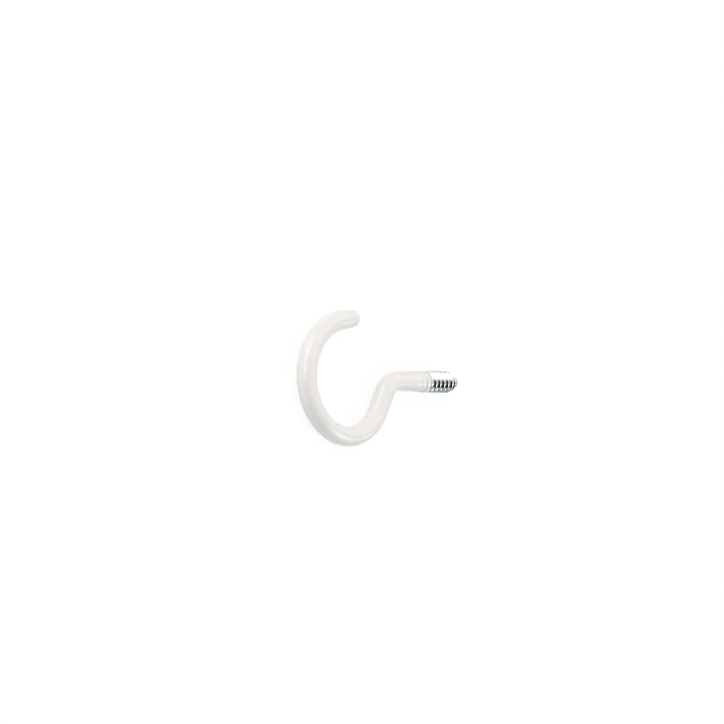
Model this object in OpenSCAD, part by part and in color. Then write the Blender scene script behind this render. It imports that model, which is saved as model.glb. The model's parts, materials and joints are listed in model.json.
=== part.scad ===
/* [Wire and coating] */
// Diameter of the bare steel wire
wire_d = 6.3; // [4:0.1:9]
// Thickness of the vinyl coating on the plain wire
coat_t = 0.35; // [0.2:0.05:0.9]

/* [Hook] */
// Radius of the bend from the shank into the leg, at the wire's centre
bend_r = 8.3; // [6.5:0.1:20]
// Angle that this bend turns through, in degrees
bend_angle = 57.5; // [30:0.5:80]
// Length of the straight leg between the bend and the bowl
leg_len = 8.2; // [2:0.1:30]
// Radius of the bowl, at the wire's centre
bowl_r = 19.2; // [12:0.2:40]
// Angle of the bowl's round part, in degrees
bowl_angle = 177.5; // [140:0.5:185]
// Radius of the wider stretch that leads to the hook's end, at the wire's centre
lead_r = 24; // [15:0.5:60]
// Angle of this wider stretch, in degrees
lead_angle = 54; // [20:1:60]

/* [Hook end] */
// Length of the straight dipped end
end_len = 6.1; // [3:0.1:12]
// Amount by which this end tapers, in diameter
end_taper_d = 0.7; // [0.1:0.1:1.5]
// Radius of the rounded edge of the dipped end
end_round_r = 1.6; // [1.2:0.1:2.4]
// Thickness of the vinyl over the wire's cut end
end_coat_t = 0.8; // [0.3:0.1:1.5]

/* [Shank and thread] */
// Length of the plain coated shank between the bend and the thread
plain_len = 6.8; // [3:0.1:40]
// Length of the thread that the coating covers
covered_thread_len = 7.4; // [4:0.1:20]
// Length of the full bare thread, from the coating's mouth to the point
bare_thread_len = 12.2; // [6:0.1:40]
// Length of the tapered point
point_len = 6.1; // [4:0.1:14]
// Height of the thread's crest over the plain wire
crest_rise = 0.6; // [0.3:0.05:1.2]
// Height that it has reached at the coating's mouth, still under the vinyl
covered_rise = 0.5; // [0.2:0.05:0.6]
// Depth of the thread's root under the plain wire's surface
root_cut = 0.35; // [0.1:0.05:0.7]
// Pitch of the thread, which is right-handed
pitch = 2.12; // [1.8:0.02:3.2]
// Place of the ridge round the shank where it leaves the coating's mouth, in degrees from +Y
mouth_turn = 29; // [0:1:359]
// Width of the thread ridge at its foot
ridge_foot_w = 1.5; // [1:0.05:1.6]
// Width of the thread ridge at its crest
ridge_crest_w = 0.2; // [0.1:0.05:0.5]
// Thickness of the vinyl on the thread's crest at the mouth
mouth_coat_t = 0.1; // [0.05:0.05:0.4]
// Height of the soft swells that the covered thread leaves on the coating
swell_h = 0.12; // [0.05:0.01:0.3]

/* [Hidden] */

$fn = 64;
steel_colour = [0.75, 0.77, 0.78];
vinyl_colour = [0.94, 0.93, 0.91];

wire_r = wire_d / 2;
coat_r = wire_r + coat_t;
thread_r = wire_r + crest_rise;
root_r = wire_r - root_cut;
covered_crest_r = wire_r + covered_rise;
mouth_r = covered_crest_r + mouth_coat_t;

// The wire's cut edge is rounded as the vinyl over it is, and is never quite sharp.
least_round_r = 0.2;
wire_round_r = max(end_round_r - end_coat_t, least_round_r);

// The shank lies along X. Zero is the coating's mouth, where the bare thread starts.
thread_start_x = -covered_thread_len;
bend_x = thread_start_x - plain_len;
tip_x = bare_thread_len + point_len;

// Neighbouring runs of bar overlap by a little, and differ by a hair in radius
seam_overlap = 0.02;
seam_step = 0.01;

// A ridge is wound in short straight steps, a whole turn for each pitch along the shank
steps_per_turn = 24.5;
step_x = pitch / steps_per_turn;

// A steel ridge's foot is sunk into the root, and its crest stands proud of the turned outline
// that trims it.
ridge_sink = 0.4;
ridge_proud = 0.02;

// A swell in the coating is broad and soft, and its foot is sunk too.
swell_foot_w = 0.8 * pitch;
swell_crest_w = 0.4 * pitch;
swell_sink = 0.2;

// Share of the full thread size that is left at a place on the shank: it falls along the point
function point_share(x) = min(1, (tip_x - x) / point_len);

// A steel ridge's outline at a place on the shank, as [offset along X, radius] points
function steel_ridge(x) =
    let (share = point_share(x))
    let (foot = ridge_foot_w / 2 * share, crest = ridge_crest_w / 2 * share)
    let (foot_r = (root_r - ridge_sink) * share, crest_r = thread_r * share + ridge_proud)
    [[-foot, foot_r], [-crest, crest_r], [crest, crest_r], [foot, foot_r]];

// Radius of the coating over the thread, at the tops of its swells: it grows towards the mouth
function covered_r(x) = mouth_r + (coat_r - mouth_r) * x / thread_start_x;

// A swell's outline at a place on the shank, as [offset along X, radius] points
function vinyl_swell(x) =
    let (foot = swell_foot_w / 2, crest = swell_crest_w / 2, crest_r = covered_r(x))
    let (foot_r = crest_r - swell_h - swell_sink)
    [[-foot, foot_r], [-crest, crest_r], [crest, crest_r], [foot, foot_r]];

// Winds a ridge round the shank from its outlines, one ring of four points for each step
module wound_ridge(outlines, first_x) {
    last = len(outlines) - 1;
    points = [
        for (i = [0 : last], p = outlines[i])
            let (x = first_x + i * step_x, turn = x * 360 / pitch + mouth_turn)
            [x + p[0], p[1] * cos(turn), p[1] * sin(turn)]
    ];
    sides = [
        for (i = [0 : last - 1], j = [0 : 3])
            let (a = 4 * i + j, b = 4 * i + (j + 1) % 4)
            each [[a, b, a + 4], [b, b + 4, a + 4]]
    ];
    caps = [[3, 2, 1, 0], [for (j = [0 : 3]) 4 * last + j]];
    polyhedron(points, concat(sides, caps), convexity = 10);
}

// A solid turned about the shank from an outline of [place along X, radius] points
module turned(outline) {
    rotate([90, 0, 90])
        rotate_extrude()
            polygon([for (p = outline) [p[1], p[0]]]);
}

// Straight round bar along +X. What follows it starts at its far end.
module straight_bar(r, length) {
    translate([-seam_overlap, 0, 0])
        rotate([0, 90, 0]) cylinder(r = r, h = length + 2 * seam_overlap);
    translate([length, 0, 0]) children();
}

// Round bar that sets off along +X and bends to the left, or to the right where the angle is
// negative. What follows it starts at its far end.
module bent_bar(r, bend_radius, angle) {
    side = sign(angle);
    over_angle = seam_overlap / bend_radius * 180 / PI;
    first_angle = side > 0 ? -90 : 90 + angle;
    translate([0, side * bend_radius, 0]) {
        rotate_extrude(angle = abs(angle) + 2 * over_angle, start = first_angle - over_angle)
            translate([bend_radius, 0]) circle(r);
        rotate([0, 0, angle])
            translate([0, -side * bend_radius, 0]) children();
    }
}

// The bar's end along +X: a slight taper, then a rounded edge round a small flat. The edge's
// radius is limited by that of the bar.
module tapered_end(r, length, round_r) {
    end_r = r - end_taper_d / 2;
    edge_r = min(round_r, 0.9 * end_r);
    round_x = length - edge_r;
    rotate([0, 90, 0])
        rotate_extrude() {
            polygon([[0, 0], [r, 0], [end_r, round_x], [0, round_x]]);
            square([end_r - edge_r, length]);
            intersection() {
                translate([end_r - edge_r, round_x]) circle(edge_r);
                square([end_r, length]);
            }
        }
}

// The bent part of the hook, from the shank to the hook's end, as bar of one thickness. Every
// other run is a hair thicker, so that each one fuses with the next.
module bent_part(r, last_len, round_r) {
    thick_r = r + seam_step;
    translate([bend_x, 0, 0])
        rotate([0, 0, 180])
            bent_bar(thick_r, bend_r, bend_angle)
                straight_bar(r, leg_len)
                    bent_bar(thick_r, bowl_r, -bowl_angle)
                        bent_bar(r, lead_r, -lead_angle)
                            tapered_end(thick_r, last_len, round_r);
}

// The steel shank without its ridge: plain wire, the thread's root, and the point
module shank_core() {
    root_x = thread_start_x + root_cut;
    turned([
        [bend_x, 0], [bend_x, wire_r], [thread_start_x, wire_r],
        [root_x, root_r], [bare_thread_len, root_r], [tip_x, 0]
    ]);
}

// The turned outline that trims the ridge: it rises under the coating, is full from the mouth on,
// and falls along the point
module thread_blank() {
    turned([
        [thread_start_x, 0], [thread_start_x, wire_r], [0, covered_crest_r],
        [0, thread_r], [bare_thread_len, thread_r], [tip_x, 0]
    ]);
}

module thread() {
    ridge_steps = floor((tip_x - pitch / 4 - thread_start_x) / step_x);
    intersection() {
        wound_ridge(
            [for (i = [0 : ridge_steps]) steel_ridge(thread_start_x + i * step_x)],
            thread_start_x
        );
        thread_blank();
    }
}

// One wire, bent to a hook at one end and threaded at the other
module steel_hook() {
    color(steel_colour) {
        bent_part(wire_r, end_len - end_coat_t, wire_round_r);
        shank_core();
        thread();
    }
}

// The coating's swells over the covered thread, cut off at its mouth
module swells() {
    first_x = thread_start_x + pitch / 2;
    swell_steps = ceil((pitch - first_x) / step_x);
    intersection() {
        wound_ridge(
            [for (i = [0 : swell_steps]) vinyl_swell(first_x + i * step_x)],
            first_x
        );
        turned([[thread_start_x, 0], [thread_start_x, 2 * mouth_r], [0, 2 * mouth_r], [0, 0]]);
    }
}

// The dipped sleeve: it follows the wire from the covered thread and closes over the hook's end
module vinyl_coating() {
    color(vinyl_colour)
        difference() {
            union() {
                bent_part(coat_r, end_len, end_round_r);
                turned([
                    [bend_x, 0], [bend_x, coat_r], [thread_start_x, coat_r],
                    [0, mouth_r - swell_h], [0, 0]
                ]);
                swells();
            }
            steel_hook();
        }
}

steel_hook();
vinyl_coating();
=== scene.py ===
"""A vinyl-dipped screw hook: one bent steel wire with a rolled wood-screw thread, and the glossy
coating that it was dipped in. Everything is in metres, in the frame of the CAD model."""
import json
import math

import bmesh
import bpy
from mathutils import Matrix, Vector


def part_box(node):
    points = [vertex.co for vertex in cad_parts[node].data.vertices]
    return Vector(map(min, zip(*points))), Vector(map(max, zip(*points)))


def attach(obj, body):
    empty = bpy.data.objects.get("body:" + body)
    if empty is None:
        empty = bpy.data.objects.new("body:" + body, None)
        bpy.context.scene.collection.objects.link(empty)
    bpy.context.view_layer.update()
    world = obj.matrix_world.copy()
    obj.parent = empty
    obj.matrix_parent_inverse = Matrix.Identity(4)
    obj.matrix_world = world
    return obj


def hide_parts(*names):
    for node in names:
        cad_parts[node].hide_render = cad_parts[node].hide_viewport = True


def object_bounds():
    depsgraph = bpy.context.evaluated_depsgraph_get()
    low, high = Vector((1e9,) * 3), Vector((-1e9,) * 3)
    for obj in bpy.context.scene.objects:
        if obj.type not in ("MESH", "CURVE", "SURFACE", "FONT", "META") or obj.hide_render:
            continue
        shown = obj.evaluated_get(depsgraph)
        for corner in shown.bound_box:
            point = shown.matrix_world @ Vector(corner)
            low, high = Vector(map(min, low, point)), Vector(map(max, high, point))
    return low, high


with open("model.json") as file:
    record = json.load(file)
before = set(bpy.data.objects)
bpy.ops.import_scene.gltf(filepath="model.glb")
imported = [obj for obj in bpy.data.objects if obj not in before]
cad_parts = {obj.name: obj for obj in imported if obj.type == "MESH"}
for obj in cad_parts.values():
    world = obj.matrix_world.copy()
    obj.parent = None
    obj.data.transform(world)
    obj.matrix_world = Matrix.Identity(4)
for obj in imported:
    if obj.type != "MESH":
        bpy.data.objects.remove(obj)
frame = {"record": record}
cad_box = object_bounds()

MM = 0.001
X_AXIS = Vector((1, 0, 0))
Z_AXIS = Vector((0, 0, 1))

# Radii of the wire and of its coating
WIRE_R = 3.15 * MM
COAT_R = 3.5 * MM

# The thread: its crests, length and point are the frame's own
thread_mount = next(m for m in frame["record"]["mounts"] if m["name"] == "thread")
CREST_R = thread_mount["dims"]["r_mm"] * MM
BARE_LENGTH = thread_mount["dims"]["length_mm"] * MM
TIP_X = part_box("steel_hook")[1].x
POINT_LENGTH = TIP_X - BARE_LENGTH
ROOT_R = 2.8 * MM
PITCH = 2.12 * MM
# Widths of the ridge at its foot and at its crest
RIDGE_FOOT = 1.5 * MM
RIDGE_CREST = 0.2 * MM
# How much the ridge's flanks are eased into the root and the crest, from 0 to 1
FLANK_EASE = 0.25
# Along the point the crest falls by this power, and so a little later than the core
POINT_POWER = 0.85
# Where the ridge crosses the mouth's plane, from +Y towards +Z
THREAD_TURN = math.radians(29)
# The thread starts under the coating, and its crest reaches its full height after the run-out
THREAD_START_X = -7.4 * MM
RUN_OUT = 8.6 * MM

# The bent part, from the shank to the hook's end, along the wire's centre
BEND_X = -14.2 * MM
BEND_R = 8.3 * MM
BEND_ANGLE = math.radians(57.5)
LEG_LENGTH = 8.2 * MM
BOWL_R = 19.2 * MM
BOWL_ANGLE = math.radians(177.5)
LEAD_R = 24 * MM
LEAD_ANGLE = math.radians(54)
END_LENGTH = 6.1 * MM
END_TAPER = 0.35 * MM
END_ROUND = 1.6 * MM
END_COAT = 0.8 * MM

# How finely the pieces are made: round the bar, along a pitch, along a bend, and straight ahead
ROUND_STEPS = 72
PITCH_STEPS = 20
BEND_STEP = math.radians(2.5)
RUN_STEP = 1 * MM
# The same for the hook's end: its taper, its rounded edge and its cap
TAPER_STEPS = 6
EDGE_STEPS = 12
CAP_STEPS = 5
# Points nearer to each other than this are one
SAME_PLACE = 0.0001 * MM


# ---------------------------------------------------------------- small maths

def clamp(value, low=0.0, high=1.0):
    return max(low, min(high, value))


def smooth(value):
    """0 to 1 as value goes from 0 to 1, level at both ends."""
    t = clamp(value)
    return t * t * (3 - 2 * t)


def mix(a, b, share):
    return a + (b - a) * share


def ridge_offset(x, angle):
    """How far a place is from the middle of the nearest ridge, in pitches, from -0.5 to 0.5."""
    turns = x / PITCH - (angle - THREAD_TURN) / math.tau
    return turns - round(turns)


# ---------------------------------------------------------------- parts of a mesh

def only(kind, elements):
    """The vertices, the edges or the faces among a mix of them."""
    return [e for e in elements if isinstance(e, kind)]


def everything(mesh):
    return mesh.verts[:] + mesh.edges[:] + mesh.faces[:]


def open_edges(mesh):
    return [e for e in mesh.edges if e.is_boundary]


def set_radius(vert, x, radius_at, taken_in=0.0):
    """Moves a vertex of the shank to x, as far from the axis as radius_at(x, angle) says, or
    nearer by what it is taken in."""
    angle = math.atan2(vert.co.z, vert.co.y)
    r = radius_at(x, angle) - taken_in
    vert.co = (x, r * math.cos(angle), r * math.sin(angle))


# ---------------------------------------------------------------- a bar that grows ring by ring

class Bar:
    """The end of a round bar in a mesh, which feeds forward and bends in the hook's own plane."""

    def __init__(self, mesh, ring, place, heading):
        self.mesh = mesh
        self.ring = ring
        self.place = place.copy()
        self.heading = heading

    def direction(self):
        return Vector((math.cos(self.heading), math.sin(self.heading), 0))

    def verts(self):
        return list({v for e in self.ring for v in e.verts})

    def feed(self, length, radius_ratio=1.0):
        """One more ring, straight ahead, and wider or narrower by a ratio."""
        made = bmesh.ops.extrude_edge_only(self.mesh, edges=self.ring)["geom"]
        self.ring = only(bmesh.types.BMEdge, made)
        bmesh.ops.translate(self.mesh, verts=self.verts(), vec=self.direction() * length)
        self.place += self.direction() * length
        if radius_ratio != 1.0:
            ratio = Vector((radius_ratio,) * 3)
            here = Matrix.Translation(-self.place)
            bmesh.ops.scale(self.mesh, verts=self.verts(), vec=ratio, space=here)

    def run(self, length):
        """Straight ahead, with a ring at about every RUN_STEP."""
        steps = round(length / RUN_STEP)
        for _ in range(steps):
            self.feed(length / steps)

    def bend(self, radius, angle):
        """Bends to the left, or to the right where the angle is negative."""
        side = math.copysign(1, angle)
        left = Vector((-math.sin(self.heading), math.cos(self.heading), 0))
        centre = self.place + left * radius * side
        steps = math.ceil(abs(angle) / BEND_STEP)
        made = bmesh.ops.spin(self.mesh, geom=self.verts() + self.ring, cent=centre, axis=Z_AXIS,
                              angle=angle, steps=steps, use_merge=False)["geom_last"]
        self.ring = only(bmesh.types.BMEdge, made)
        self.place = centre + Matrix.Rotation(angle, 3, "Z") @ (self.place - centre)
        self.heading += angle

    def follow_profile(self, profile, radius):
        """Feeds along a list of [place ahead, radius] points, from a bar of that radius."""
        ahead = 0
        for x, r in profile:
            self.feed(x - ahead, r / radius)
            ahead = x
            radius = r

    def close(self):
        """Closes the end: its last small ring becomes one point."""
        bmesh.ops.pointmerge(self.mesh, verts=self.verts(), merge_co=self.place)


def bend_hook(bar, radius, end_length, end_round):
    """The bent part of the hook, as a bar of that radius, to its closed end."""
    bar.bend(BEND_R, BEND_ANGLE)
    bar.run(LEG_LENGTH)
    bar.bend(BOWL_R, -BOWL_ANGLE)
    bar.bend(LEAD_R, -LEAD_ANGLE)
    bar.follow_profile(end_profile(radius, end_length, end_round), radius)
    bar.close()


def end_profile(radius, length, round_r):
    """A slight taper, a rounded edge, and a flat cap, as [place ahead, radius] points."""
    end_r = radius - END_TAPER
    flat_r = end_r - round_r
    taper = length - round_r
    points = [[taper * i / TAPER_STEPS, mix(radius, end_r, i / TAPER_STEPS)]
              for i in range(1, TAPER_STEPS + 1)]
    for i in range(1, EDGE_STEPS + 1):
        a = math.pi / 2 * i / EDGE_STEPS
        points.append([taper + round_r * math.sin(a), flat_r + round_r * math.cos(a)])
    points += [[length, flat_r * (1 - i / CAP_STEPS)] for i in range(1, CAP_STEPS)]
    return points


# ---------------------------------------------------------------- the wire and its thread

def point_share(x):
    """Share of the point that is left at a place on the shank: 1 before it, 0 at the tip."""
    return clamp((TIP_X - x) / POINT_LENGTH)


def steel_radius(x, angle):
    """Radius of the wire's own surface: plain, then a ridge over the root, then the point."""
    if x <= THREAD_START_X:
        return WIRE_R
    from_ridge = abs(ridge_offset(x, angle)) * PITCH
    flank_width = (RIDGE_FOOT - RIDGE_CREST) / 2
    flank = clamp((RIDGE_FOOT / 2 - from_ridge) / flank_width)
    ridge = mix(flank, smooth(flank), FLANK_EASE)
    from_start = x - THREAD_START_X
    sunk = smooth(from_start / PITCH)
    risen = clamp(from_start / RUN_OUT)
    left = point_share(x)
    core = mix(WIRE_R, ROOT_R, sunk) * left
    crest = mix(WIRE_R, CREST_R, risen) * left ** POINT_POWER
    return mix(core, max(core, crest), ridge)


def wind_thread(mesh):
    """The threaded wire from the plain shank to the tip. A straight row of points, one pitch long,
    is wound along one turn of a helix, the turn is repeated, and each point takes its radius."""
    first_x = THREAD_START_X - PITCH
    row = [mesh.verts.new((first_x + PITCH * i / PITCH_STEPS, WIRE_R, 0))
           for i in range(PITCH_STEPS + 1)]
    line = [mesh.edges.new(pair) for pair in zip(row, row[1:])]
    bmesh.ops.spin(mesh, geom=row + line, cent=(0, 0, 0), axis=X_AXIS,
                   dvec=X_AXIS * PITCH / ROUND_STEPS, angle=math.tau, steps=ROUND_STEPS,
                   use_merge=False)
    one_turn = everything(mesh)
    for turn in range(1, math.ceil((TIP_X - first_x) / PITCH)):
        made = bmesh.ops.duplicate(mesh, geom=one_turn)["geom"]
        copied = only(bmesh.types.BMVert, made)
        bmesh.ops.translate(mesh, verts=copied, vec=X_AXIS * PITCH * turn)
    bmesh.ops.remove_doubles(mesh, verts=mesh.verts, dist=SAME_PLACE)
    for v in mesh.verts:
        set_radius(v, clamp(v.co.x, THREAD_START_X, TIP_X), steel_radius)
    bmesh.ops.remove_doubles(mesh, verts=mesh.verts, dist=SAME_PLACE)
    bmesh.ops.dissolve_degenerate(mesh, edges=mesh.edges, dist=SAME_PLACE)


def build_wire(mesh):
    """The whole wire, closed at both ends."""
    wind_thread(mesh)
    bar = Bar(mesh, open_edges(mesh), X_AXIS * THREAD_START_X, math.pi)
    bar.run(THREAD_START_X - BEND_X)
    bend_hook(bar, WIRE_R, END_LENGTH - END_COAT, END_ROUND - END_COAT)


# ---------------------------------------------------------------- the dipped coating

# Its mouth covers the crest, which hasn't risen to its full height there
MOUTH_COAT = 0.07 * MM
MOUTH_R = mix(WIRE_R, CREST_R, -THREAD_START_X / RUN_OUT) + MOUTH_COAT
# The vinyl has crept out over the thread by this much, and its edge is rounded
LIP_X = 0.3 * MM
LIP_ROUND = 0.18 * MM
# The valleys between its swells: a higher sharpness makes them narrower
VALLEY_DEPTH = 0.28 * MM
VALLEY_SHARPNESS = 8
# How much each swell rises towards the mouth, and how far all of them are shifted that way
SWELL_LEAN = 0.23 * MM
SWELL_SHIFT = 0.36 * MM
# Share of the covered thread over which the swells grow to their full height
SWELL_GROWTH = 0.625
# How finely the coating is made over the thread, and round its lip
COVERED_STEPS = 84
LIP_STEPS = 6


def vinyl_radius(x, angle):
    """Radius of the coating over the thread. It grows towards the mouth, and the ridges under it
    show more and more: broad soft swells that lean towards the mouth, and narrow valleys a
    little nearer to it than the thread's own."""
    share = clamp(1 - x / THREAD_START_X)
    offset = ridge_offset(x - SWELL_SHIFT, angle)
    valley = math.sin(math.pi * offset) ** VALLEY_SHARPNESS
    swell = SWELL_LEAN * offset * (1 - valley) - VALLEY_DEPTH * valley
    return mix(COAT_R, MOUTH_R, share) + swell * smooth(share / SWELL_GROWTH)


def mouth_profile():
    """The coating from the round edge of its mouth back to the plain shank: places along X, and
    how far the edge's rounding takes each one in."""
    places = []
    for i in range(LIP_STEPS):
        a = math.pi / 2 * i / LIP_STEPS
        places.append([LIP_X - LIP_ROUND * (1 - math.cos(a)), LIP_ROUND * (1 - math.sin(a))])
    full_x = LIP_X - LIP_ROUND
    places += [[mix(full_x, THREAD_START_X, i / COVERED_STEPS), 0]
               for i in range(COVERED_STEPS + 1)]
    return places


def build_skin(mesh):
    """The coating's outer surface, from its open mouth to the closed hook's end."""
    circle = bmesh.ops.create_circle(mesh, segments=ROUND_STEPS, radius=COAT_R,
                                     matrix=Matrix.Rotation(math.pi / 2, 4, "Y"))["verts"]
    ring = list({e for v in circle for e in v.link_edges})
    bar = Bar(mesh, ring, X_AXIS * LIP_X, math.pi)
    for number, (x, taken_in) in enumerate(mouth_profile()):
        if number > 0:
            bar.feed(bar.place.x - x)
        for v in bar.verts():
            set_radius(v, x, vinyl_radius, taken_in)
    bar.run(THREAD_START_X - BEND_X)
    bend_hook(bar, COAT_R, END_LENGTH, END_ROUND)


# ---------------------------------------------------------------- objects

def add_object(name, data):
    """A new object in the scene, at the origin."""
    made = bpy.data.objects.new(name, data)
    bpy.context.scene.collection.objects.link(made)
    return made


def mesh_object(name, mesh, material):
    """A new object from a filled bmesh, which is then freed."""
    data = bpy.data.meshes.new(name)
    mesh.to_mesh(data)
    mesh.free()
    data.materials.append(material)
    return add_object(name, data)


def piece_from(name, build, material):
    """A smooth-shaded object from a function that fills a bmesh."""
    mesh = bmesh.new()
    build(mesh)
    bmesh.ops.recalc_face_normals(mesh, faces=mesh.faces)
    piece = mesh_object(name, mesh, material)
    piece.data.shade_smooth()
    return piece


def flat_sheet(name, matrix, material):
    """A flat square of 1 m, which a matrix places and sizes."""
    mesh = bmesh.new()
    bmesh.ops.create_grid(mesh, x_segments=1, y_segments=1, size=0.5, matrix=matrix)
    return mesh_object(name, mesh, material)


# ---------------------------------------------------------------- shader maths

class Value:
    """A socket that can be used in sums: each operator adds its Math node."""

    def __init__(self, paint, socket):
        self.paint = paint
        self.socket = socket

    def __add__(self, other):
        return self.paint.math("ADD", self, other)

    __radd__ = __add__

    def __mul__(self, other):
        return self.paint.math("MULTIPLY", self, other)

    __rmul__ = __mul__

    def __sub__(self, other):
        return self.paint.math("SUBTRACT", self, other)

    def __rsub__(self, other):
        return self.paint.math("SUBTRACT", other, self)

    def __truediv__(self, other):
        return self.paint.math("DIVIDE", self, other)

    def __rtruediv__(self, other):
        return self.paint.math("DIVIDE", other, self)

    def __pow__(self, power):
        return self.paint.math("POWER", self, power)

    def __rpow__(self, base):
        return self.paint.math("POWER", base, self)

    def ramp(self, low, high):
        """0 at low and 1 at high, level at both ends."""
        settings = {"interpolation_type": "SMOOTHSTEP"}
        sockets = {"Value": self, "From Min": low, "From Max": high}
        return self.paint.node("ShaderNodeMapRange", settings, sockets)


class Paint:
    """The node tree of a material or of the world."""

    def __init__(self, owner):
        owner.use_nodes = True
        self.owner = owner
        self.tree = owner.node_tree
        self.tree.nodes.clear()

    def node(self, kind, settings=None, sockets=None, output=None):
        """Adds any node: first its settings, then its sockets, which are named or counted among
        those in use. Gives its first output in use, or the one that is named."""
        made = self.tree.nodes.new(kind)
        for name, value in (settings or {}).items():
            setattr(made, name, value)
        inputs = [s for s in made.inputs if s.enabled]
        for key, value in (sockets or {}).items():
            socket = next(s for i, s in enumerate(inputs) if key in (i, s.name))
            if isinstance(value, Value):
                self.tree.links.new(value.socket, socket)
            else:
                socket.default_value = value
        if not made.outputs:
            return None
        found = next(s for s in made.outputs if s.enabled and output in (None, s.name))
        return Value(self, found)

    def math(self, operation, *values):
        return self.node("ShaderNodeMath", {"operation": operation}, dict(enumerate(values)))

    def place(self):
        """The Object coordinates, and their three numbers."""
        coordinates = self.node("ShaderNodeTexCoord", output="Object")
        split = self.node("ShaderNodeSeparateXYZ", sockets={0: coordinates})
        numbers = [Value(self, s) for s in split.socket.node.outputs]
        return coordinates, numbers

    def noise(self, vector, scale, detail):
        sockets = {"Vector": vector, "Scale": scale, "Detail": detail}
        return self.node("ShaderNodeTexNoise", sockets=sockets)

    def colour_mix(self, share, a, b):
        settings = {"data_type": "RGBA"}
        return self.node("ShaderNodeMix", settings, {"Factor": share, "A": a, "B": b})

    def bump(self, height, distance, normal=None):
        sockets = {"Height": height, "Distance": distance}
        if normal is not None:
            sockets["Normal"] = normal
        return self.node("ShaderNodeBump", sockets=sockets)

    def seen(self):
        """1 for what the camera sees, straight or in reflections or through glass, and 0 for the
        light that falls on things."""
        rays = self.node("ShaderNodeLightPath").socket.node.outputs
        names = ("Is Camera Ray", "Is Glossy Ray", "Is Transmission Ray")
        camera, glossy, through = (Value(self, rays[name]) for name in names)
        return self.math("MINIMUM", camera + glossy + through, 1.0)

    def show(self, shader):
        """Ends a material's tree with this shader, and gives the material."""
        self.node("ShaderNodeOutputMaterial", sockets={"Surface": shader})
        return self.owner

    def finish(self, **sockets):
        """Ends it with a Principled shader, whose sockets are named with underscores."""
        named = {name.replace("_", " "): value for name, value in sockets.items()}
        return self.show(self.node("ShaderNodeBsdfPrincipled", sockets=named))


# ---------------------------------------------------------------- finishes

# Between these two places the vinyl takes its cool tint, and between the next two painted shade
# darkens its valleys
THIN_X = (-3.5 * MM, 0)
VALLEY_SHADE_X = (-5 * MM, -1 * MM)
# How far under the swells' own radius the painted shade in a valley begins, and is darkest
VALLEY_SHADE_DEPTH = (0.05 * MM, 0.8 * VALLEY_DEPTH)
# Painted shade darkens the zinc at the thread's root, and it is plain bright zinc from this radius
# on
ROOT_SHADE_END_R = CREST_R - 0.25 * MM


def vinyl_finish():
    """Glossy off-white dipped vinyl: faint cloudiness, a slightly uneven flow, fine pores, a cool
    tint where it thins over the thread, and painted shade that darkens the valleys there."""
    warm = (0.83, 0.80, 0.77, 1)
    grey = (0.81, 0.79, 0.76, 1)
    thin = (0.77, 0.76, 0.78, 1)
    # Painted shade for the valleys of the covered thread
    painted_valley_shade = (0.64, 0.65, 0.65, 1)
    paint = Paint(bpy.data.materials.new("dipped_vinyl"))
    place, (x, y, z) = paint.place()
    cloud = paint.noise(place, scale=90, detail=3).ramp(0.35, 0.7)
    colour = paint.colour_mix(cloud, warm, grey)
    colour = paint.colour_mix(x.ramp(*THIN_X) * 0.8, colour, thin)
    radius = (y * y + z * z) ** 0.5
    share = 1 - x / THREAD_START_X
    swell_radius = COAT_R + share * (MOUTH_R - COAT_R)
    # Painted shade: the valleys near the mouth are darkened towards that colour
    valley = (swell_radius - radius).ramp(*VALLEY_SHADE_DEPTH) * x.ramp(*VALLEY_SHADE_X)
    colour = paint.colour_mix(valley, colour, painted_valley_shade)
    flow = paint.noise(place, scale=220, detail=2)
    pores = paint.noise(place, scale=2600, detail=2)
    normal = paint.bump(flow, distance=0.10 * MM)
    normal = paint.bump(pores, distance=0.004 * MM, normal=normal)
    roughness = 0.17 + paint.noise(place, scale=400, detail=3) * 0.12
    return paint.finish(Base_Color=colour, Roughness=roughness, Normal=normal, IOR=1.5)


def zinc_finish():
    """Bright zinc plate on rolled steel: fine marks that run round the thread, and in the valleys
    between the ridges a rougher finish and painted shade."""
    bright = (0.86, 0.88, 0.89, 1)
    # Painted shade for the thread's root; the random speckle also leans a little towards this
    # colour
    speckle_and_root_shade = (0.45, 0.48, 0.50, 1)
    paint = Paint(bpy.data.materials.new("bright_zinc"))
    place, (x, y, z) = paint.place()
    radius = (y * y + z * z) ** 0.5
    along = paint.node("ShaderNodeCombineXYZ", sockets={"X": x, "Y": radius})
    rings = paint.noise(along, scale=5200, detail=4)
    speckle = paint.noise(place, scale=1500, detail=3)
    # Painted shade at the thread's root, from the root up to the radius above
    valley = 1 - radius.ramp(ROOT_R, ROOT_SHADE_END_R)
    colour = paint.colour_mix(valley * 0.85 + speckle * 0.1, bright, speckle_and_root_shade)
    roughness = 0.10 + valley * 0.08 + speckle * 0.08
    normal = paint.bump(rings, distance=0.01 * MM)
    normal = paint.bump(speckle, distance=0.015 * MM, normal=normal)
    return paint.finish(Base_Color=colour, Metallic=1.0, Roughness=roughness, Normal=normal)


# ---------------------------------------------------------------- the hook

wire = piece_from("zinc_plated_wire", build_wire, zinc_finish())
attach(wire, "root")
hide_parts("steel_hook")


def build_coating(mesh):
    """The sleeve: its inner wall is the wire's own surface up to the lip, inside out, and the flat
    of the lip joins that wall to the skin."""
    mesh.from_mesh(wire.data)
    bmesh.ops.bisect_plane(mesh, geom=everything(mesh), plane_co=(LIP_X, 0, 0), plane_no=X_AXIS,
                           clear_outer=True)
    build_skin(mesh)
    bmesh.ops.bridge_loops(mesh, edges=open_edges(mesh))


coating = piece_from("dipped_vinyl_coating", build_coating, vinyl_finish())
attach(coating, "root")
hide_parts("vinyl_coating")


# ---------------------------------------------------------------- floor, light and camera

HOOK_MIDDLE = (cad_box[0] + cad_box[1]) / 2
FLOOR_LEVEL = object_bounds()[0].z
FLOOR_WIDTH = 6.0
WHITE = (1, 1, 1, 1)
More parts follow.
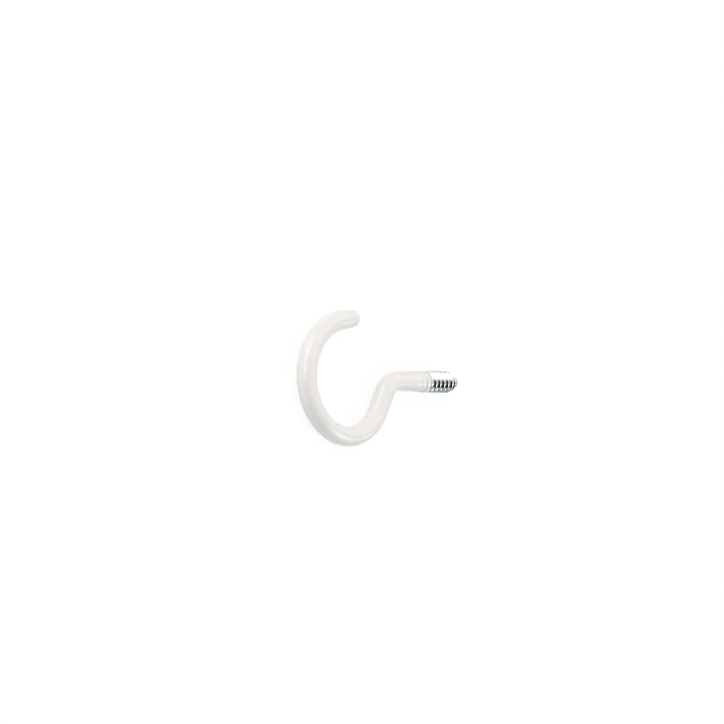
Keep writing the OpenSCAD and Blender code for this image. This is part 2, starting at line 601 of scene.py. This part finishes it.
# Where the floor is seen, this share of it is plain white of this strength, and the rest of it
# keeps the hook's shadow
WHITE_SHARE = 0.85
WHITE_STRENGTH = 1.04
LAMP_TINT = (1.0, 0.94, 0.96)
# A card that lies down is this much above the floor
CARD_LIFT = 0.1 * MM


def make_floor():
    """A pale floor under the hook. Seen by the camera and in reflections it is lifted to white,
    and it keeps part of its shadow."""
    paint = Paint(bpy.data.materials.new("floor_white"))
    matt = paint.node("ShaderNodeBsdfDiffuse", sockets={"Color": (0.9, 0.9, 0.9, 1)})
    lifted = {"Color": WHITE, "Strength": WHITE_STRENGTH}
    white = paint.node("ShaderNodeEmission", sockets=lifted)
    layers = {0: paint.seen() * WHITE_SHARE, 1: matt, 2: white}
    shown = paint.node("ShaderNodeMixShader", sockets=layers)
    place = Matrix.Translation(Z_AXIS * FLOOR_LEVEL) @ Matrix.Scale(FLOOR_WIDTH, 4)
    floor = flat_sheet("floor", place, paint.show(shown))


def make_world(fill):
    """White where it is seen, and an even fill light of a colour."""
    world = bpy.data.worlds.new("studio")
    bpy.context.scene.world = world
    paint = Paint(world)
    colour = paint.colour_mix(paint.seen(), fill, WHITE)
    sky = paint.node("ShaderNodeBackground", sockets={"Color": colour, "Strength": 1.0})
    paint.node("ShaderNodeOutputWorld", sockets={"Surface": sky})


def towards(azimuth, elevation):
    """The direction away from the hook at an azimuth, from +X towards +Y, and an elevation, both
    in degrees."""
    a = math.radians(azimuth)
    e = math.radians(elevation)
    return Vector((math.cos(a) * math.cos(e), math.sin(a) * math.cos(e), math.sin(e)))


def make_lamp(name, away, distance, width, height, power):
    """A soft lamp that faces the hook from a direction."""
    light = bpy.data.lights.new(name, "AREA")
    light.shape = "RECTANGLE"
    light.size = width
    light.size_y = height
    light.energy = power
    light.color = LAMP_TINT
    lamp = add_object(name, light)
    lamp.location = HOOK_MIDDLE + away * distance
    lamp.rotation_euler = away.to_track_quat("Z", "Y").to_euler()


def make_card(name, middle, facing, width, height, colour):
    """A flat card with its middle at a place, which shows in reflections only."""
    turned = facing.to_track_quat("Z", "Y").to_matrix().to_4x4()
    sized = Matrix.Diagonal((width, height, 1, 1))
    paint = Paint(bpy.data.materials.new(name + "_paint"))
    matt = paint.node("ShaderNodeBsdfDiffuse", sockets={"Color": colour})
    card = flat_sheet(name, Matrix.Translation(middle) @ turned @ sized, paint.show(matt))
    card.visible_camera = False
    card.visible_diffuse = False
    card.visible_shadow = False


def make_cards():
    """What the glossy parts mirror below the white: a dark card that stands to one side, a dark one
    that lies between it and the hook, and a grey sheet that lies under the thread."""
    dark = (0.02, 0.02, 0.02, 1)
    grey = (0.42, 0.50, 0.52, 1)
    aside = towards(-135, 0)
    wall_middle = aside * 0.6 + Z_AXIS * (FLOOR_LEVEL + 0.4)
    ground_middle = Vector((-0.2, -0.335, FLOOR_LEVEL + CARD_LIFT))
    sheet_middle = Vector((0.02, 0, FLOOR_LEVEL + CARD_LIFT))
    make_card("dark_wall", wall_middle, aside, width=1.2, height=0.8, colour=dark)
    make_card("dark_ground", ground_middle, Z_AXIS, width=1.2, height=0.6, colour=dark)
    make_card("grey_sheet", sheet_middle, Z_AXIS, width=0.04, height=0.06, colour=grey)


# The camera: the point that it looks at, how it is turned, how far off it is, and how wide its
# view is there
LOOK_AT = Vector((-22.75, 7.45, -8.22)) * MM
CAMERA_TURN = math.radians(48.38)
CAMERA_TILT = math.radians(-4.86)
CAMERA_ROLL = math.radians(4.02)
CAMERA_DISTANCE = 2.367
VIEW_WIDTH = 0.2521


def make_camera():
    """The camera, placed and turned by the values above."""
    data = bpy.data.cameras.new("camera")
    camera = add_object("camera", data)
    turned = (Matrix.Rotation(-CAMERA_TURN, 3, "Y") @ Matrix.Rotation(-CAMERA_TILT, 3, "X")
              @ Matrix.Rotation(-CAMERA_ROLL, 3, "Z"))
    back = turned.col[2]
    camera.matrix_world = Matrix.Translation(LOOK_AT + back * CAMERA_DISTANCE) @ turned.to_4x4()
    data.lens = data.sensor_width * CAMERA_DISTANCE / VIEW_WIDTH
    bpy.context.scene.camera = camera


make_floor()
make_world(fill=(0.515, 0.548, 0.536, 1))
make_lamp("left_box", towards(140, 18), distance=1.2, width=1.2, height=0.64, power=6.9)
make_lamp("right_box", towards(-48, 40.5), distance=1.2, width=0.5, height=0.54, power=4.3)
make_lamp("end_strip", towards(-22, 26), distance=1.2, width=0.2, height=0.1, power=0.5)
make_lamp("top_box", towards(52, 47), distance=1.5, width=2.0, height=1.5, power=6.0)
make_cards()
make_camera()
bpy.context.scene.view_settings.view_transform = "Standard"
